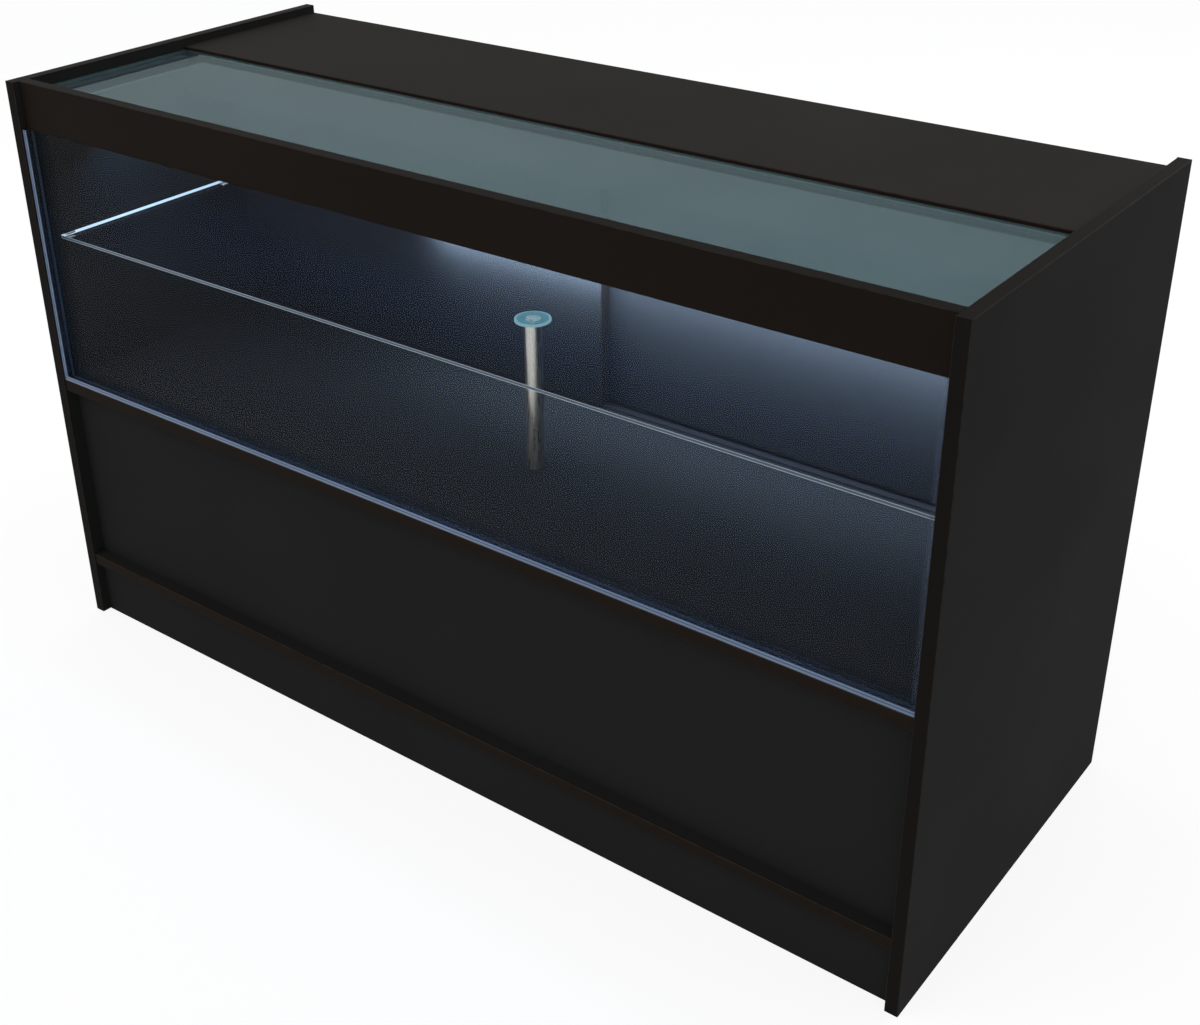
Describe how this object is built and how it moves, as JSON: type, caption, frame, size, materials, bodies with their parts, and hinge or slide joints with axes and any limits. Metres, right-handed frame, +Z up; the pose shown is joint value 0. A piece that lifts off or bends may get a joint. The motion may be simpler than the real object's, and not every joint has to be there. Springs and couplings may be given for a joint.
{
  "type": "shop display counter",
  "caption": "Dark board shop counter with a glass top and front, a glass shelf, sliding rear doors with a push lock and open storage below.",
  "frame": {"origin": "middle of the footprint, on the floor", "axes": "+X along the counter to the customer's right, -Y towards the customer, +Z up"},
  "size_m": [1.5, 0.6, 0.9],
  "materials": {
    "board": "matt dark melamine facing",
    "edging": "satin edging",
    "batten": "matt",
    "glass": "clear",
    "clear_plastic": "clear glossy",
    "soft_pad": "clear soft",
    "chrome": "polished",
    "brass": "satin",
    "track": "satin",
    "runner": "waxy",
    "steel": "zinc plated"
  },
  "bodies": {
    "carcass": {"end_panel_left": "board", "end_panel_right": "board", "base_board": "board", "deck_board": "board", "rear_worktop": "board", "top_rail": "board", "cross_rail": "board", "plinth_front": "board", "plinth_rear": "board", "lower_front_panel": "board", "centre_divider": "board", "storage_shelf_left": "board", "storage_shelf_right": "board", "edging_end_left": "edging", "edging_end_right": "edging", "edging_base": "edging", "edging_deck": "edging", "edging_worktop": "edging", "edging_top_rail": "edging", "edging_storage": "edging", "ledge_left": "batten", "ledge_right": "batten", "ledge_front": "batten", "front_glass": "glass", "top_glass": "glass", "glass_shelf": "glass", "glazing_channel_bottom": "clear_plastic", "glazing_channel_left": "clear_plastic", "glazing_channel_right": "clear_plastic", "glass_pads": "soft_pad", "post_pads": "soft_pad", "door_stops": "soft_pad", "post_tube": "chrome", "post_foot": "chrome", "post_head": "chrome", "shelf_clips": "chrome", "track_bottom": "track", "track_top": "track", "storage_pins": "steel"},
    "door_left": {"door_left": "board", "edging_door_left": "edging", "runners_left": "runner", "finger_pull_left": "chrome", "lock_keep": "chrome"},
    "door_right": {"door_right": "board", "edging_door_right": "edging", "runners_right": "runner", "finger_pull_right": "chrome", "lock_sleeve": "chrome", "lock_screws": "steel"},
    "lock_barrel": {"lock_barrel": "chrome"},
    "lock_plug": {"lock_plug": "brass", "lock_key": "chrome"}
  },
  "joints": [
    {"name": "door_left_slide", "type": "slide", "parent": "carcass", "child": "door_left", "axis": [1, 0, 0], "range_m": [0, 0.716]},
    {"name": "door_right_slide", "type": "slide", "parent": "carcass", "child": "door_right", "axis": [-1, 0, 0], "range_m": [0, 0.716]},
    {"name": "lock_push", "type": "slide", "parent": "door_right", "child": "lock_barrel", "axis": [0, -1, 0], "range_m": [0, 0.006], "stiffness_N_per_m": 400},
    {"name": "key_turn", "type": "hinge", "parent": "lock_barrel", "child": "lock_plug", "pos_m": [0, 0.1555, 0.644], "axis": [0, 1, 0], "range_deg": [0, 90]}
  ]
}
